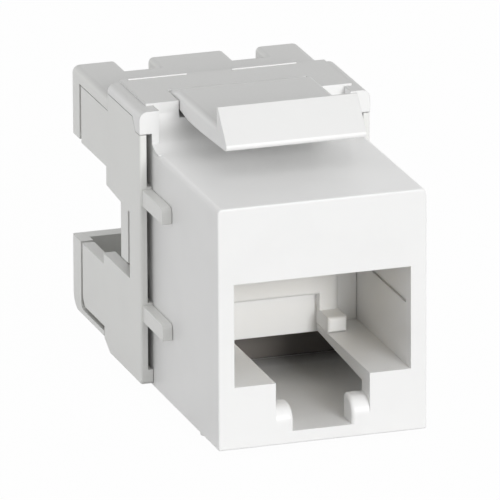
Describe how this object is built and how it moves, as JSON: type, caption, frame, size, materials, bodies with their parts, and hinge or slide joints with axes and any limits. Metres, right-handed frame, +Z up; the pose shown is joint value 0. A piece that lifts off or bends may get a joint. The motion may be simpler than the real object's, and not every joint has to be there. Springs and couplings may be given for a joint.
{
  "type": "keystone jack",
  "caption": "Snap-in keystone jack: modular network port in front, latch lever on top, wire termination with pull-off caps behind.",
  "frame": {"origin": "centre of the footprint, at the tip of the fixed hook ridge underneath", "axes": "+Y runs into the jack from the plug side to the wire side, +Z is up towards the latch lever, +X is to the right seen from the plug side"},
  "size_m": [0.0156, 0.0284, 0.021],
  "materials": {
    "housing_plastic": "white moulded plastic, satin to gloss",
    "latch_plastic": "white moulded plastic, satin to gloss",
    "body_plastic": "white moulded plastic, satin to gloss",
    "cap_plastic": "white moulded plastic, satin to gloss",
    "carrier_plastic": "white moulded plastic, satin",
    "block_plastic": "grey moulded plastic, matte",
    "board": "green solder mask over glass laminate",
    "gold_wire": "gold-plated spring wire",
    "tinned_contact": "tin-plated phosphor bronze"
  },
  "bodies": {
    "jack": {"front_housing": "housing_plastic", "contact_carrier": "carrier_plastic", "circuit_board": "board", "idc_block": "block_plastic", "rear_body": "body_plastic", "idc_1": "tinned_contact", "idc_2": "tinned_contact", "idc_3": "tinned_contact", "idc_4": "tinned_contact", "idc_5": "tinned_contact", "idc_6": "tinned_contact", "idc_7": "tinned_contact", "idc_8": "tinned_contact"},
    "latch": {"latch_lever": "latch_plastic"},
    "contacts": {"contact_1": "gold_wire", "contact_2": "gold_wire", "contact_3": "gold_wire", "contact_4": "gold_wire", "contact_5": "gold_wire", "contact_6": "gold_wire", "contact_7": "gold_wire", "contact_8": "gold_wire"},
    "upper_cap": {"upper_cap": "cap_plastic"},
    "lower_cap": {"lower_cap": "cap_plastic"}
  },
  "joints": [
    {"name": "latch_press", "type": "hinge", "parent": "jack", "child": "latch", "pos_m": [0, 0.00305, 0.01852], "axis": [1, 0, 0], "range_deg": [0, 8], "stiffness_Nm_per_rad": 0.05},
    {"name": "contact_give", "type": "hinge", "parent": "jack", "child": "contacts", "pos_m": [0, -0.01145, 0.01189], "axis": [1, 0, 0], "range_deg": [0, 14], "stiffness_Nm_per_rad": 0.002},
    {"name": "upper_cap_pull", "type": "slide", "parent": "jack", "child": "upper_cap", "axis": [0, 1, 0], "range_m": [0, 0.012]},
    {"name": "lower_cap_pull", "type": "slide", "parent": "jack", "child": "lower_cap", "axis": [0, 1, 0], "range_m": [0, 0.012]}
  ]
}
